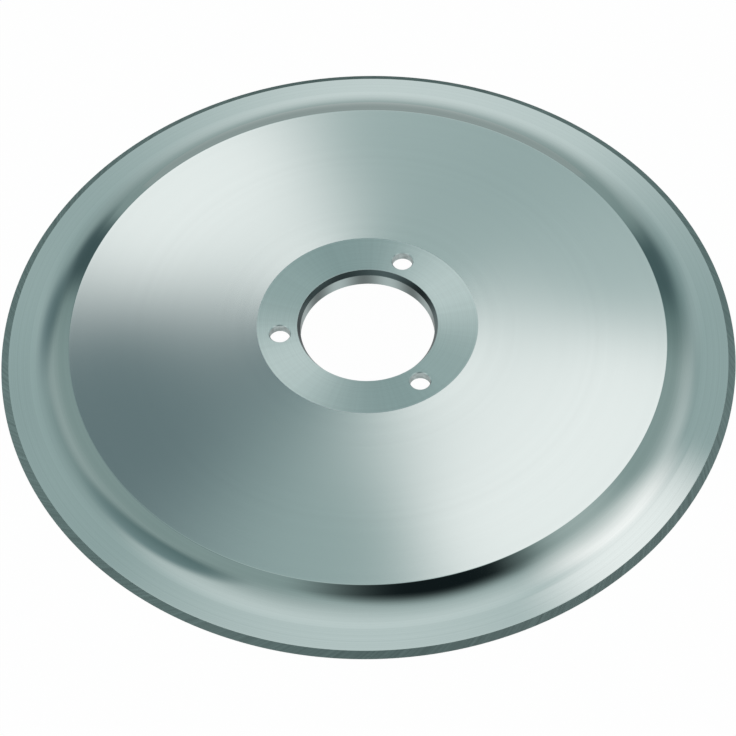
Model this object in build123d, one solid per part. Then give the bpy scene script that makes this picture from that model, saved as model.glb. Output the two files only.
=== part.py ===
from build123d import *
import math
import os

# Round blade of a food slicer: one disc of hardened steel, turned all over and ground at its rim.
# Its section is a shallow dish. The hub stands proud at the back, a cone falls away from it to a sharp
# shoulder, and a ground rim runs from the shoulder down to the cutting edge. The front is recessed
# inside the rim, where the machine's cover disc sits.
#
# Millimetres. Z is the axis the blade spins on, with +Z towards the back of the blade. The origin is on
# that axis, in the plane of the cutting edge, so the blade lies on its front face as it would on a bench.

# Overall
blade_d = 220.0             # across the cutting edge
blade_height = 16.5         # from the plane of the cutting edge to the hub's face

# Cutting edge and ground rim, all on the back unless they say front
bevel_width = 2.2           # sharpening bevel, measured along the radius
bevel_angle = 29.0          # rise of the bevel from the plane of the edge
rim_width = 20.6            # from the cutting edge in to the shoulder
shoulder_height = 8.43      # of the sharp shoulder, above the plane of the edge
groove_drop = 4.24          # from the shoulder down to the corner where wall and ring meet
groove_wall_angle = 30.0    # of the wall under the shoulder, from the plane of the edge
groove_radius = 40.0        # blend from that wall into the ring
front_land = 0.8            # flat honed strip on the front, next to the edge
front_relief_angle = 1.5    # hollow of the front of the rim, so that only the land touches

# Recess in the front
shoulder_width = 3.4        # metal between the recess and the shoulder, which leaves a recess of 172
web_thickness = 4.0         # of the cone at the recess's wall, measured along the axis
recess_corner_radius = 2.0
recess_mouth_chamfer = 0.5

# Hub and bore
bore_d = 40.0
bore_lead_width = 1.0       # chamfer at the back of the bore, along the radius
bore_lead_depth = 1.7       # and along the axis
bore_front_chamfer = 0.3
hub_thickness = 6.0

# Screw holes, countersunk from the front
screw_count = 3
screw_hole_d = 6.2
screw_head_angle = 90.0
screw_land = 2.8            # straight part of each hole, at the back
screw_to_bore = 6.25        # from the bore's wall to the middle of a hole
hub_face_margin = 6.75      # from the middle of a hole to the rim of the hub's face
front_seat_margin = 2.4     # flat left outside each countersink on the front
first_screw_angle = 90.0
cutter_overrun = 1.0        # how far a cutter passes the face it breaks through

# Radii and heights that follow from those sizes
edge_r = blade_d / 2
bevel_top_r = edge_r - bevel_width
bevel_top_z = bevel_width * math.tan(math.radians(bevel_angle))
shoulder_r = edge_r - rim_width
groove_r = shoulder_r + groove_drop / math.tan(math.radians(groove_wall_angle))
groove_z = shoulder_height - groove_drop

bore_r = bore_d / 2
screw_circle_r = bore_r + screw_to_bore
hub_face_r = screw_circle_r + hub_face_margin
cone_fall = (blade_height - shoulder_height) / (shoulder_r - hub_face_r)

seat_z = blade_height - hub_thickness
countersink_depth = hub_thickness - screw_land
screw_head_r = screw_hole_d / 2 + countersink_depth * math.tan(math.radians(screw_head_angle / 2))
seat_r = screw_circle_r + screw_head_r + front_seat_margin

recess_r = shoulder_r - shoulder_width
recess_floor_z = shoulder_height + cone_fall * shoulder_width - web_thickness
land_r = edge_r - front_land
recess_mouth_z = (land_r - recess_r) * math.tan(math.radians(front_relief_angle))


def blade_section():
    """Half section of the disc: X is the radius, Y is the height above the cutting edge."""
    back = [
        (bore_r, blade_height - bore_lead_depth),
        (bore_r + bore_lead_width, blade_height),
        (hub_face_r, blade_height),
        (shoulder_r, shoulder_height),
        (groove_r, groove_z),
        (bevel_top_r, bevel_top_z),
        (edge_r, 0),
    ]
    front = [
        (land_r, 0),
        (recess_r, recess_mouth_z),
        (recess_r, recess_floor_z),
        (seat_r, seat_z),
        (bore_r + bore_front_chamfer, seat_z),
        (bore_r, seat_z + bore_front_chamfer),
    ]
    section = make_face(Polyline(back + front, close=True))

    def corner(r, z):
        return section.vertices().sort_by_distance((r, z))[0]

    section = fillet(corner(groove_r, groove_z), groove_radius)
    section = fillet(corner(recess_r, recess_floor_z), recess_corner_radius)
    section = chamfer(corner(recess_r, recess_mouth_z), recess_mouth_chamfer)
    return section


def screw_hole():
    """Cutter for one hole, on its own axis: a cone for the head, then a straight part to the back."""
    head_z = seat_z - cutter_overrun
    head_r = screw_head_r + cutter_overrun * math.tan(math.radians(screw_head_angle / 2))
    land_z = blade_height - screw_land
    top_z = blade_height + cutter_overrun
    section = make_face(
        Polyline(
            (0, head_z),
            (head_r, head_z),
            (screw_hole_d / 2, land_z),
            (screw_hole_d / 2, top_z),
            (0, top_z),
            close=True,
        )
    )
    return revolve(Plane.XZ * section, Axis.Z)


def slicer_blade():
    disc = revolve(Plane.XZ * blade_section(), Axis.Z)
    holes = PolarLocations(screw_circle_r, screw_count, start_angle=first_screw_angle) * screw_hole()
    return disc - holes


blade = slicer_blade()
os.makedirs("parts", exist_ok=True)
export_step(blade, "parts/slicer_blade.step")

print(f"recess {2 * recess_r:.1f}, screw circle {2 * screw_circle_r:.1f}, hub face {2 * hub_face_r:.1f}")
print(f"countersink {2 * screw_head_r:.1f}, seat at {seat_z:.1f}, recess floor at {recess_floor_z:.2f}")
print(f"volume {blade.volume:.0f} mm3")
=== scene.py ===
# %% [markdown]
# # A food slicer blade in polished steel
# The blade is one turned disc with three screw holes. It is turned again here from the section of the
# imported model, with finer steps and with its edges lightly broken, as a machinist leaves them. Polished
# metal has hardly any colour of its own, so the studio round it is as much a part of its look as the
# material is.

# %% Load the frame
import bpy
from math import ceil, cos, degrees, pi, radians, sin, tan
from mathutils import Matrix, Quaternion, Vector


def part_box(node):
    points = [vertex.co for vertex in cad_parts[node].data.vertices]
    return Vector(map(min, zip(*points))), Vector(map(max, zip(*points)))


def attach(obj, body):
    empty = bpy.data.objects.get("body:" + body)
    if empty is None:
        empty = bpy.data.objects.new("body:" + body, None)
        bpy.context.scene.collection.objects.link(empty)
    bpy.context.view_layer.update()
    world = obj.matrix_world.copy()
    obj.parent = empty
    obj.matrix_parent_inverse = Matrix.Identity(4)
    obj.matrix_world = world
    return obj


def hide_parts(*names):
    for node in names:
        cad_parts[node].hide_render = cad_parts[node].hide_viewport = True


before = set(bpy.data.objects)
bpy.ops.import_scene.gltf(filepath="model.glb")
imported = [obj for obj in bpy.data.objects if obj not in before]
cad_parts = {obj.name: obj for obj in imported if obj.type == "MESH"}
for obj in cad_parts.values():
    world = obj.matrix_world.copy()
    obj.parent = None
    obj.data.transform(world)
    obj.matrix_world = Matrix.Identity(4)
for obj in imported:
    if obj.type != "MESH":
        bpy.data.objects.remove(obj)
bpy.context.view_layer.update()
mm = 0.001               # the blade's sizes are written in millimetres, and the scene is in metres

low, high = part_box("slicer_blade")
print(f"packed blade: {(high.x - low.x) / mm:.1f} mm across, {high.z / mm:.1f} mm high")

# %% [markdown]
# ## Section of the blade
# A turned part is described by its section: each corner has a distance from the axis and a height, both
# in millimetres here, and a radius that rounds it. The walk starts at the cutting edge, which stays
# sharp, goes in over the back, down the bore, and out again along the front. Five of the distances have
# names, because the finish changes at the same places.

# %% Corners of the section
bore_radius = 20.0
hub_inner = 21.0
hub_outer = 33.0
shoulder_radius = 89.4
bevel_inner = 107.8

section = [   # distance from the axis, height, radius of the rounding
    (109.9999, 0.0, 0.0),           # cutting edge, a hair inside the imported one
    (bevel_inner, 1.22, 0.8),       # top of the sharpening bevel
    (96.744, 4.19, 40.0),           # groove between the ring and the wall
    (shoulder_radius, 8.43, 0.5),   # shoulder
    (hub_outer, 16.5, 1.5),         # rim of the hub's face
    (hub_inner, 16.5, 0.1),         # top of the bore's chamfer
    (bore_radius, 14.8, 0.1),       # and its foot
    (bore_radius, 10.8, 0.1),       # front end of the bore
    (20.3, 10.5, 0.1),
    (34.95, 10.5, 3.0),             # rim of the seat for the screw heads
    (86.0, 4.918, 2.0),             # corner between the recess's floor and its wall
    (86.0, 1.107, 0.15),            # chamfer round the recess's mouth
    (86.5, 0.594, 0.15),
    (109.2, 0.0, 0.0),              # honed land beside the cutting edge
]
print("section:", len(section), "corners")

# %% [markdown]
# Each rounding is an arc that touches both sides of its corner. Smooth shading would let the arc's
# normals bend the flat faces next to it, so an extra point stands just outside each end of the arc and
# keeps them flat. The groove's long arc shows reflections, and is divided more finely than the edges.

# %% Round the corners
edge_step = 6                   # degrees between the points of a broken edge
groove_step = 1.25              # and between the points of the groove
largest_edge = 10               # an arc of a larger radius than this is stepped like the groove
fewest_steps = 3
margin = 0.15                   # from the end of an arc to the extra point beside it


def rounded(before, corner, after, radius):
    """Points that replace a corner: an arc, and a point beside each end that keeps flat faces flat."""
    toward_before = (before - corner).normalized()
    toward_after = (after - corner).normalized()
    half = toward_before.angle(toward_after) / 2
    reach = radius / tan(half)
    start = corner + toward_before * reach
    end = corner + toward_after * reach
    centre = corner + (toward_before + toward_after).normalized() * radius / sin(half)
    sweep = pi - 2 * half
    if (start - centre).angle_signed(end - centre) > 0:
        sweep = -sweep
    step = groove_step if radius > largest_edge else edge_step
    steps = max(fewest_steps, ceil(degrees(abs(sweep)) / step))
    arc = [centre + Matrix.Rotation(sweep * i / steps, 2) @ (start - centre) for i in range(steps + 1)]
    return [start + toward_before * margin, *arc, arc[-1] + toward_after * margin]


corners = [Vector((distance, height)) for distance, height, _ in section]
outline = []
for i, (_, _, rounding) in enumerate(section):
    after = corners[(i + 1) % len(corners)]
    outline += rounded(corners[i - 1], corners[i], after, rounding) if rounding else [corners[i]]
print("outline:", len(outline), "points")

# %% [markdown]
# ## Turn the disc
# A circle of edges is extruded from point to point of the section, and scaled each time to the radius
# of the next point, as if a potter pulled a wall up. The blade's last ring meets the first one and is
# welded to it, and a shape with open ends has them filled, so either skin is closed. A full degree
# between steps leaves no flats that the eye could find.

# %% Turn the blade
blade_steps = 360
weld_distance = 0.001 * mm      # points nearer to each other than this become one


def turned(name, points, steps, x=0.0, y=0.0):
    """Closed skin of a turned shape whose section has these points, round a vertical axis at x, y."""
    radius, height = points[0]
    bpy.ops.mesh.primitive_circle_add(vertices=steps, radius=radius * mm, location=(x, y, height * mm))
    piece = bpy.context.active_object
    piece.name = piece.data.name = name
    bpy.ops.object.mode_set(mode="EDIT")
    bpy.ops.mesh.select_all(action="SELECT")
    for next_radius, next_height in points[1:]:
        bpy.ops.mesh.extrude_edges_move(
            TRANSFORM_OT_translate={"value": (0, 0, (next_height - height) * mm)})
        size = next_radius / radius
        bpy.ops.transform.resize(value=(size, size, 1), center_override=(x, y, 0))
        radius, height = next_radius, next_height
    bpy.ops.mesh.select_all(action="SELECT")
    bpy.ops.mesh.remove_doubles(threshold=weld_distance)
    bpy.ops.mesh.fill_holes(sides=0)
    bpy.ops.mesh.normals_make_consistent(inside=False)
    bpy.ops.object.mode_set(mode="OBJECT")
    return piece


blade = turned("turned_blade", outline + outline[:1], blade_steps)
print("turned:", len(blade.data.polygons), "faces")

# %% [markdown]
# ## Screw holes
# Each hole is straight at the back and opens in a cone towards the front, where the screw's head sits.
# The cutter has that shape, and a small flare at the back that breaks the mouth's edge. It passes both
# faces of the hub by a millimetre, and a boolean subtracts the three cutters at once.

# %% Cut the screw holes
screws = 3
first_screw = 90                # degrees
screw_circle = 26.25            # from the axis to the middle of each hole
hole_steps = 64
cutter_section = [   # distance from the hole's own axis, height
    (4.35, 17.5),    # flare
    (3.1, 16.25),    # back end of the straight part
    (3.1, 13.7),     # and its front end
    (7.3, 9.5),      # cone for the head
]
smooth_limit = 20               # degrees: faces that meet at a larger angle keep their edge sharp

cutters = []
for i in range(screws):
    angle = radians(first_screw + 360 * i / screws)
    x, y = screw_circle * mm * cos(angle), screw_circle * mm * sin(angle)
    cutters.append(turned(f"screw_cutter_{i}", cutter_section, hole_steps, x, y))
for cutter in cutters:
    cutter.select_set(True)
bpy.context.view_layer.objects.active = cutters[0]
bpy.ops.object.join()
cutter = bpy.context.active_object

bpy.ops.object.select_all(action="DESELECT")
bpy.context.view_layer.objects.active = blade
blade.select_set(True)
bpy.ops.object.modifier_add(type="BOOLEAN")
boolean = blade.modifiers[-1]
boolean.object = cutter
boolean.operation = "DIFFERENCE"
boolean.solver = "EXACT"
bpy.ops.object.modifier_apply(modifier=boolean.name)
bpy.data.objects.remove(cutter)
bpy.ops.object.shade_smooth_by_angle(angle=radians(smooth_limit))

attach(blade, "root")
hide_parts("slicer_blade")
print("cut:", len(blade.data.polygons), "faces")

# %% [markdown]
# ## Small tools for node trees
# A procedural material is a sum written with nodes. A few short functions keep such sums readable: they
# add a node, plug values or other nodes into it, and hand back what comes out.

# %% Node helpers
def add_node(tree, kind, *inputs, **settings):
    """Add a node, give it its settings, and fill its inputs in order with numbers or sockets."""
    node = tree.nodes.new(kind)
    for name, value in settings.items():
        setattr(node, name, value)
    for socket, value in zip(node.inputs, inputs):
        if isinstance(value, bpy.types.NodeSocket):
            tree.links.new(value, socket)
        elif value is not None:
            socket.default_value = value
    return node


def number(tree, operation, *inputs):
    """Arithmetic on numbers."""
    return add_node(tree, "ShaderNodeMath", *inputs, operation=operation).outputs[0]


def dot(tree, vector, direction):
    """How far a vector reaches along a fixed direction."""
    node = add_node(tree, "ShaderNodeVectorMath", vector, direction, operation="DOT_PRODUCT")
    return node.outputs["Value"]


def rise(tree, value, start, end):
    """0 before start, 1 after end, and a smooth slope between. With start above end it falls."""
    node = add_node(tree, "ShaderNodeMapRange", value, start, end, interpolation_type="SMOOTHSTEP")
    return node.outputs[0]


def blend(tree, factor, first, second):
    """First where the factor is 0, second where it is 1. Both are colours or both are numbers."""
    colours = any(isinstance(value, tuple) or getattr(value, "type", "") == "RGBA"
                  for value in (first, second))
    node = add_node(tree, "ShaderNodeMix", data_type="RGBA" if colours else "FLOAT")
    wanted = {"Factor": factor, "A": first, "B": second}
    for socket in (s for s in node.inputs if s.enabled):
        value = wanted[socket.name]
        if isinstance(value, bpy.types.NodeSocket):
            tree.links.new(value, socket)
        else:
            socket.default_value = (*value, 1) if socket.type == "RGBA" else value
    return next(s for s in node.outputs if s.enabled)


# %% [markdown]
# ## Camera
# The view is from 53 degrees above, through a long lens, so the disc shows as an ellipse with hardly
# any perspective. The camera stands where the screw holes line up as they should, and is rolled by a
# little over one degree. It aims just below the origin, which lies under the bore.

# %% Place the camera
view_azimuth = radians(24.6)
view_elevation = radians(52.61)
view_roll = radians(1.35)
view_distance = 2.1564          # metres
view_drop = 0.00283             # the middle of the picture lies this far below the origin
view_shift = 0.00008            # and this far to its left
picture_width = 736             # pixels
focal_pixels = 7196
sensor_width = 36.0             # millimetres

camera_data = bpy.data.cameras.new("view")
camera_data.sensor_width = sensor_width
camera_data.lens = focal_pixels / picture_width * sensor_width
camera = bpy.data.objects.new("view", camera_data)
bpy.context.scene.collection.objects.link(camera)
bpy.context.scene.camera = camera

toward_camera = Vector((
    sin(view_azimuth) * cos(view_elevation),
    -cos(view_azimuth) * cos(view_elevation),
    sin(view_elevation),
))
level = (-toward_camera).to_track_quat("-Z", "Y")
camera.rotation_mode = "QUATERNION"
camera.rotation_quaternion = level @ Quaternion((0, 0, 1), -view_roll)
upright = camera.rotation_quaternion @ Vector((0, 1, 0))
sideways = camera.rotation_quaternion @ Vector((1, 0, 0))
camera.location = toward_camera * view_distance - upright * view_drop - sideways * view_shift
print(f"camera at {tuple(round(x, 3) for x in camera.location)}, lens {camera_data.lens:.0f} mm")

# %% [markdown]
# ## Floor
# The blade lies on a white floor. To the camera and to reflections the floor is mostly a plain white
# that gives its own light, and partly a surface that catches the blade's soft shadow.

# %% Make the floor
floor_size = 40.0               # metres
floor_gap = 0.00002             # clear of the blade's front land, so that the two never coincide
floor_white = 0.98              # share of the floor that is plain white to the camera
white = (1, 1, 1, 1)
matt_white = (0.9, 0.9, 0.9, 1)

bpy.ops.mesh.primitive_plane_add(size=floor_size, location=(0, 0, -floor_gap))
floor = bpy.context.active_object
floor.name = "floor"

floor_material = bpy.data.materials.new("white_floor")
floor_material.use_nodes = True
tree = floor_material.node_tree
tree.nodes.clear()
light_path = add_node(tree, "ShaderNodeLightPath")
seen = number(tree, "MAXIMUM", light_path.outputs["Is Camera Ray"], light_path.outputs["Is Glossy Ray"])
seen = number(tree, "MAXIMUM", seen, light_path.outputs["Is Transmission Ray"])
share = number(tree, "MULTIPLY", seen, floor_white)
matt = add_node(tree, "ShaderNodeBsdfDiffuse", matt_white)
plain = add_node(tree, "ShaderNodeEmission", white, 1.0)
mixed = add_node(tree, "ShaderNodeMixShader", share, matt.outputs[0], plain.outputs[0])
add_node(tree, "ShaderNodeOutputMaterial", mixed.outputs[0])
floor.data.materials.append(floor_material)
print("floor:", floor_size, "m square")

# %% [markdown]
# ## Studio
# A polished disc shows its studio like a curved mirror, so the studio is drawn first and the steel
# follows. It is a soft pale room with large cards in it: white ones that light the steel, and dark ones
# that give it contrast. Steel looks cool in its shadows, so a darker grey has less red and more blue.

# %% Start the world
neutral = 1.25                  # brightness at which a grey has as much red as green
red_power = 0.29                # how fast red falls as the shade gets darker
red_limit = 0.33                # and the shade under which it falls no further
most_blue = 1.14                # blue in the darkest grey, as a share of green
blue_loss = 0.34                # how fast blue falls as the shade gets lighter
blue_limit = 0.42               # and the shade over which it falls no further

world = bpy.data.worlds.new("studio")
bpy.context.scene.world = world
world.use_nodes = True
tree = world.node_tree
tree.nodes.clear()
sky = add_node(tree, "ShaderNodeTexCoord").outputs["Generated"]
height_above = add_node(tree, "ShaderNodeSeparateXYZ", sky).outputs["Z"]


def tint(brightness):
    """Grey of this brightness, cooler the darker it is."""
    shade = brightness / neutral
    red = brightness * max(shade, red_limit) ** red_power
    blue = brightness * (most_blue - blue_loss * min(shade, blue_limit))
    return (red, brightness, blue)


print("world:", len(tree.nodes), "nodes")

# %% [markdown]
# A card is a soft-edged oval on the sky. Its place is an azimuth, with 0 behind the blade and 90 on the
# right as the camera sees it, and a height above the horizon, all in degrees. Each card lies over those
# before it in the list. Five more cards, beside and behind the camera, hardly show from the front, and
# keep the blade lively when someone walks round it. A pale cove along the horizon joins the sky to the
# white floor.

# %% Describe the cards
cards = [   # azimuth, height, half width, half height, lean to the left, softness, brightness
    (0, 12, 14, 13, 0, 0.90, 0.95),          # pale glow, low at the back
    (180, 80, 40, 20, 0, 0.60, 0.87),        # pale ceiling over the camera
    (-140, 62, 30, 18, 0, 0.60, 0.95),       # pale wall, front left
    (162, 60, 36, 11, 0, 0.55, 0.03),        # black flag beside the camera
    (73, 43, 29, 10, 40, 0.50, 0.98),        # pale card, low right
    (80, 57, 15, 11, -10, 0.50, 1.42),       # big white card, right
    (37, 22, 13, 10, -35, 0.80, 0.50),       # grey panel, back right
    (37, 13, 6, 8, -35, 0.60, 0.32),         # dark strip, low right
    (-27, 26, 16, 14, 30, 0.90, 0.56),       # grey panel, back left
    (-70, 35, 35, 8, -35, 0.50, 0.92),       # pale card, low left
    (-88, 57.5, 15, 5.5, -30, 0.45, 0.42),   # dark strip, left
    (-39, 25, 4, 10, 25, 0.80, 0.35),        # dark strip, middle left
    (-32, 10, 5, 8, 25, 0.60, 0.27),         # dark strip, low left
    (22, 44, 8, 6, 40, 0.80, 0.66),          # pale patch, back right
    (28.5, 61.5, 15, 11.5, 38, 0.25, 1.25),  # white card, high at the back
    (-15, 41, 8, 11, 50, 0.30, 1.25),        # white strip, back left
    (-26, 54, 8, 11, -5, 0.55, 0.25),        # dark flag, high left
]
behind = [
    (180, 24, 24, 15, 0, 0.60, 0.10),        # black panel, low behind the camera
    (133, 34, 13, 20, 12, 0.50, 1.20),       # white card, behind on the right
    (-134, 32, 15, 18, -12, 0.50, 1.20),     # white card, behind on the left
    (98, 22, 7, 17, 8, 0.60, 0.30),          # dark strip, right
    (-98, 20, 8, 15, -8, 0.60, 0.30),        # dark strip, left
]
turn = Matrix.Rotation(view_azimuth, 3, "Z")    # the studio is set up round the camera's view
ahead_limit = 0.02              # keeps a card from showing again on the far side of the sky


def card(below, azimuth, height, half_width, half_height, lean, softness, brightness):
    """Lay one oval card over the colours below it."""
    a, h = radians(azimuth), radians(height)
    middle = Vector((sin(a) * cos(h), cos(a) * cos(h), sin(h)))
    across = Vector((cos(a), -sin(a), 0))
    up = across.cross(middle)
    leaning = Quaternion(middle, -radians(lean))
    middle, across, up = (turn @ v for v in (middle, leaning @ across, leaning @ up))
    ahead = dot(tree, sky, middle)
    front = number(tree, "MAXIMUM", ahead, ahead_limit)
    x = number(tree, "DIVIDE", dot(tree, sky, across / tan(radians(half_width))), front)
    y = number(tree, "DIVIDE", dot(tree, sky, up / tan(radians(half_height))), front)
    spot = add_node(tree, "ShaderNodeCombineXYZ", x, y)
    reach = add_node(tree, "ShaderNodeVectorMath", spot.outputs[0], operation="LENGTH").outputs["Value"]
    mask = rise(tree, reach, 1 + softness, 1 - softness)
    mask = number(tree, "MULTIPLY", mask, number(tree, "GREATER_THAN", ahead, ahead_limit))
    return blend(tree, mask, below, tint(brightness))


print("cards:", len(cards), "that the view shows, and", len(behind), "beside and behind the camera")

# %% Lay the cards in the room
room_high = 0.53                # brightness of the room overhead
room_low = 0.82                 # and near the horizon
room_slope = (40, 24)           # it changes between these heights, in degrees
cove_white = 0.90
cove_slope = (5, 2)


def low_down(slope):
    """0 above the first height of a slope, 1 below the second, and a smooth change between."""
    start, end = (sin(radians(height)) for height in slope)
    return rise(tree, height_above, start, end)


colours = blend(tree, low_down(room_slope), tint(room_high), tint(room_low))
for shape in behind + cards:
    colours = card(colours, *shape)
colours = blend(tree, low_down(cove_slope), colours, tint(cove_white))
background = add_node(tree, "ShaderNodeBackground", colours, 1.0)
add_node(tree, "ShaderNodeOutputWorld", background.outputs[0])
print("studio:", len(tree.nodes), "nodes")

# %% [markdown]
# ## Place on the blade
# The finish of a turned part depends on the place: how far from the axis it is, at which angle round it,
# and which way the face looks. Those are worked out once, and everything below uses them.

# %% Measure the place on the blade
steel = bpy.data.materials.new("blade_steel")
steel.use_nodes = True
tree = steel.node_tree
tree.nodes.clear()
coordinates = add_node(tree, "ShaderNodeTexCoord")
place = coordinates.outputs["Object"]
parts = add_node(tree, "ShaderNodeSeparateXYZ", place)
flat = add_node(tree, "ShaderNodeCombineXYZ", parts.outputs["X"], parts.outputs["Y"]).outputs[0]
radius = add_node(tree, "ShaderNodeVectorMath", flat, operation="LENGTH").outputs["Value"]
outward = add_node(tree, "ShaderNodeVectorMath", flat, operation="NORMALIZE").outputs[0]
bearing = number(tree, "ARCTAN2", parts.outputs["Y"], parts.outputs["X"])
facing = add_node(tree, "ShaderNodeSeparateXYZ", coordinates.outputs["Normal"]).outputs["Z"]
print("place:", len(tree.nodes), "nodes")

# %% [markdown]
# ## Marks of the tools
# Every face keeps traces of how it was cut. Turned and polished faces have fine rings, which depend on
# the distance from the axis alone, so a noise with one dimension draws them. The bevel was ground by a
# wheel that crossed it on a slant: its scratches are a noise on a circle, turned further the further out
# it lies. The bore and its chamfer get painted reflections: broad lobes of light and shade laid into
# their colour round the axis, and a wave that fits a whole number of times round has no seam.

# %% Draw the marks
bevel_middle = 108.9 * mm
slant = 14.0                    # radians that a grinding mark turns over a metre of radius


def noise(pitch, detail, **where):
    """Noise about 0, whose grains lie one pitch apart. A W in its place makes it one-dimensional."""
    node = add_node(tree, "ShaderNodeTexNoise", noise_dimensions="1D" if "W" in where else "3D")
    node.inputs["Scale"].default_value = 1 / pitch
    node.inputs["Detail"].default_value = detail
    for socket, value in where.items():
        tree.links.new(value, node.inputs[socket])
    return number(tree, "SUBTRACT", node.outputs[0], 0.5)


def lobes(count, peak):
    """Wave from -1 to 1 with this many peaks round the axis, one of them at an angle in degrees."""
    return number(tree, "COSINE", number(tree, "MULTIPLY_ADD", bearing, count, -count * radians(peak)))


twist = number(tree, "MULTIPLY_ADD", radius, slant, -slant * bevel_middle)
twisted = add_node(tree, "ShaderNodeVectorRotate", outward, None, None, twist, rotation_type="Z_AXIS")

fine_rings = noise(pitch=0.45 * mm, detail=3, W=radius)
broad_rings = noise(pitch=2.6 * mm, detail=2, W=radius)
scratches = noise(pitch=1.1 * mm / bevel_middle, detail=3, Vector=twisted.outputs[0])
streaks = noise(pitch=0.04, detail=2, Vector=outward)
grains = noise(pitch=1.6 * mm, detail=1, Vector=place)
# painted reflections: waves of light and shade laid into the colour of the bore and its chamfer
bore_painted_reflections = lobes(count=8, peak=4.6)
chamfer_painted_reflections = lobes(count=5, peak=27.6)
print("marks:", len(tree.nodes), "nodes")

# %% [markdown]
# ## Steel
# One material covers the blade, and its finish changes from zone to zone. The cone and the ring are
# polished almost to a mirror. The bevel is ground, which leaves it darker, and the hub's face is left as
# turned, with a satin sheen. The wall under the shoulder keeps the polish but gets painted shade in its
# colour, as the groove's shadow, and the dark colours of the bore, its chamfer and the screw holes are
# painted shade in those hollows. Masks tell the zones apart by the radius, and by whether a face looks to
# the back, to the front or to the side.

# %% Map the zones
blur = 0.04                     # half the width of the change from zone to zone
lap = 0.1                       # how far the hub's finish starts inside its own radius
no_inner = -1.0                 # an inner radius that leaves nothing out
no_outer = 120.0                # and an outer one that leaves nothing out
groove_shade_to = 91.5                # the painted shade on the wall is full up to here
polished_from = 101.0           # and has gone here
rough_to = 35.0                 # the cone is a little rougher up to here
smooth_from = 80.0              # and at its smoothest from here
hole_reach = 4.75               # on either side of the circle of the screw holes
turnover = 0.1                  # height of a normal, up or down, within which back becomes front
side_limit = 0.35               # height of a normal under which its face looks to the side


def between(inner, outer):
    """1 between two radii in millimetres, and 0 elsewhere."""
    inside = rise(tree, radius, (inner - blur) * mm, (inner + blur) * mm)
    outside = rise(tree, radius, (outer + blur) * mm, (outer - blur) * mm)
    return number(tree, "MULTIPLY", inside, outside)


back = rise(tree, facing, -turnover, turnover)
side = number(tree, "LESS_THAN", number(tree, "ABSOLUTE", facing), side_limit)
bore = between(no_inner, bore_radius + blur)
chamfer = number(tree, "MULTIPLY", between(bore_radius + blur, hub_inner - blur), back)
hub = number(tree, "MULTIPLY", between(hub_inner - lap, hub_outer), back)
holes = number(tree, "MULTIPLY", between(screw_circle - hole_reach, screw_circle + hole_reach), side)
cone = number(tree, "MULTIPLY", between(hub_outer, shoulder_radius), back)
near_hub = rise(tree, radius, smooth_from * mm, rough_to * mm)
wall = rise(tree, radius, polished_from * mm, groove_shade_to * mm)
wall = number(tree, "MULTIPLY", wall, between(shoulder_radius, no_outer))
wall = number(tree, "MULTIPLY", wall, back)
bevel = number(tree, "MULTIPLY", between(bevel_inner, no_outer), back)
print("zones:", len(tree.nodes), "nodes")

# %% [markdown]
# Each zone lays its own colour and roughness over what is below it. The marks then make the colour a
# little lighter and darker, each kind where its tool was at work, and the waves in the bore and its
# chamfer are painted reflections of light and shade.

# %% Mix the colour and the roughness
polished = (0.62, 0.67, 0.66)
# painted shade for the wall under the shoulder, laid into its colour
painted_groove_shade = (0.23, 0.30, 0.29)
ring_roughness = 0.05
cone_roughness = blend(tree, near_hub, 0.09, 0.16)
front_roughness = 0.35

zones = [   # mask, colour, roughness
    (bevel, (0.22, 0.293, 0.285), 0.46),
    (hub, (0.505, 0.595, 0.585), 0.30),
    # the holes' darker colour is painted shade inside the holes, with a drilled grain laid over it
    (holes, (0.36, 0.42, 0.415), 0.35),
    # the bore's dark colour is painted shade inside the bore
    (bore, (0.26, 0.315, 0.31), 0.30),
    # the chamfer's near-black colour is painted shade at the mouth of the bore
    (chamfer, (0.085, 0.11, 0.112), 0.30),
]
marks = [   # pattern, how strongly it shows
    (fine_rings, blend(tree, cone, blend(tree, hub, 0.12, 0.16), 0.03)),
    (broad_rings, blend(tree, cone, 0.05, 0.03)),
    (streaks, number(tree, "MULTIPLY", hub, 0.12)),
    (scratches, number(tree, "MULTIPLY", bevel, 0.9)),
    (grains, number(tree, "MULTIPLY", holes, 1.2)),
    # painted reflections of light and shade round the bore and its chamfer
    (bore_painted_reflections, number(tree, "MULTIPLY", bore, 0.45)),
    (chamfer_painted_reflections, number(tree, "MULTIPLY", chamfer, 0.45)),
]

# the wall under the shoulder gets the painted shade, fading out towards the ring
colour = blend(tree, wall, polished, painted_groove_shade)
roughness = blend(tree, cone, ring_roughness, cone_roughness)
roughness = blend(tree, back, front_roughness, roughness)
for mask, zone_colour, zone_roughness in zones:
    colour = blend(tree, mask, colour, zone_colour)
    roughness = blend(tree, mask, roughness, zone_roughness)
for pattern, strength in marks:
    marked = add_node(tree, "ShaderNodeVectorMath", colour, operation="SCALE")
    tree.links.new(number(tree, "MULTIPLY_ADD", pattern, strength, 1.0), marked.inputs["Scale"])
    colour = marked.outputs[0]
print("finish:", len(zones), "zones laid over the rest,", len(marks), "kinds of marks")

# %% [markdown]
# The same marks have a height too, of a hundredth of a millimetre or less, which a bump node turns into
# slightly tilted normals. The polished back has next to none.

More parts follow.
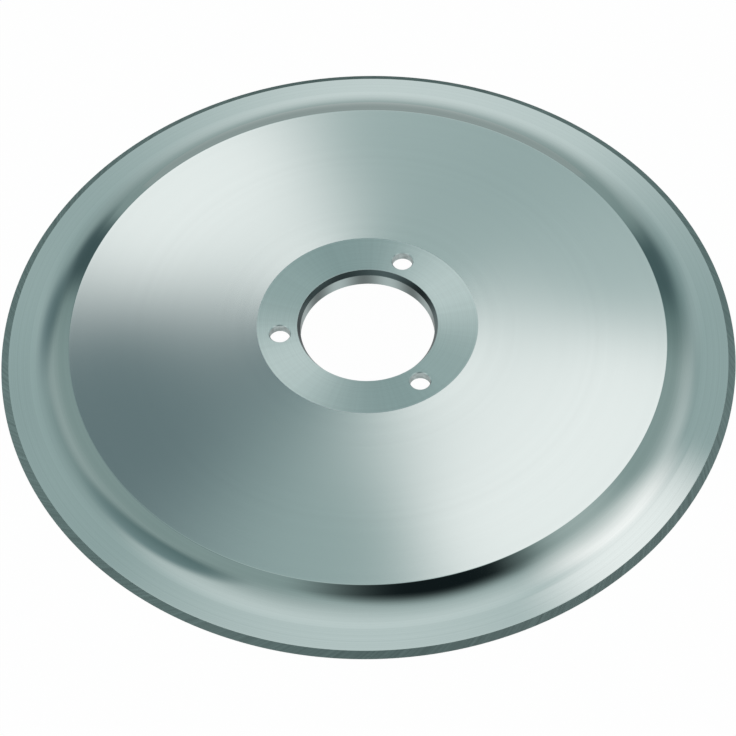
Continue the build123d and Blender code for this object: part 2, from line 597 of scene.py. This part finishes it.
# %% Raise the marks
micron = 0.001 * mm
depth = blend(tree, back, 6 * micron, 0.4 * micron)
depth = blend(tree, hub, depth, 4 * micron)
depth = blend(tree, bevel, depth, 2 * micron)
scratch_depth = number(tree, "MULTIPLY", bevel, 20 * micron)
relief = number(tree, "MULTIPLY", fine_rings, depth)
relief = number(tree, "MULTIPLY_ADD", scratches, scratch_depth, relief)
bump = add_node(tree, "ShaderNodeBump")
bump.inputs["Distance"].default_value = 1.0
tree.links.new(relief, bump.inputs["Height"])
print("relief:", len(tree.nodes), "nodes")

# %% [markdown]
# The shine is drawn out along the circles, because the tangent runs round the axis, and that gives
# turned steel its fans of light. The hub's marks swirl a little off the circles, which turns its fans
# with them. A tint below white takes the glare off faces that are seen at a low angle, most of all off
# the ground bevel.

# %% Make the steel
anisotropy = 0.95
hub_swirl = radians(18)
glare = (0.75, 0.75, 0.75)
bevel_glare = (0.2, 0.2, 0.2)

shader = add_node(tree, "ShaderNodeBsdfPrincipled", distribution="GGX")
shader.inputs["Metallic"].default_value = 1.0
shader.inputs["Anisotropic"].default_value = anisotropy
edge_tint = blend(tree, bevel, glare, bevel_glare)
circles = add_node(tree, "ShaderNodeTangent", direction_type="RADIAL", axis="Z").outputs[0]
swirl = number(tree, "MULTIPLY", hub, hub_swirl)
tangent = add_node(tree, "ShaderNodeVectorRotate", circles, None, None, swirl, rotation_type="Z_AXIS")
tree.links.new(colour, shader.inputs["Base Color"])
tree.links.new(roughness, shader.inputs["Roughness"])
tree.links.new(edge_tint, shader.inputs["Specular Tint"])
tree.links.new(tangent.outputs[0], shader.inputs["Tangent"])
tree.links.new(bump.outputs[0], shader.inputs["Normal"])
add_node(tree, "ShaderNodeOutputMaterial", shader.outputs[0])
blade.data.materials.clear()
blade.data.materials.append(steel)
print("steel:", len(tree.nodes), "nodes")

# %% [markdown]
# ## Finish
# The colours are shown as they are.

# %% Finish
bpy.context.scene.view_settings.view_transform = "Standard"
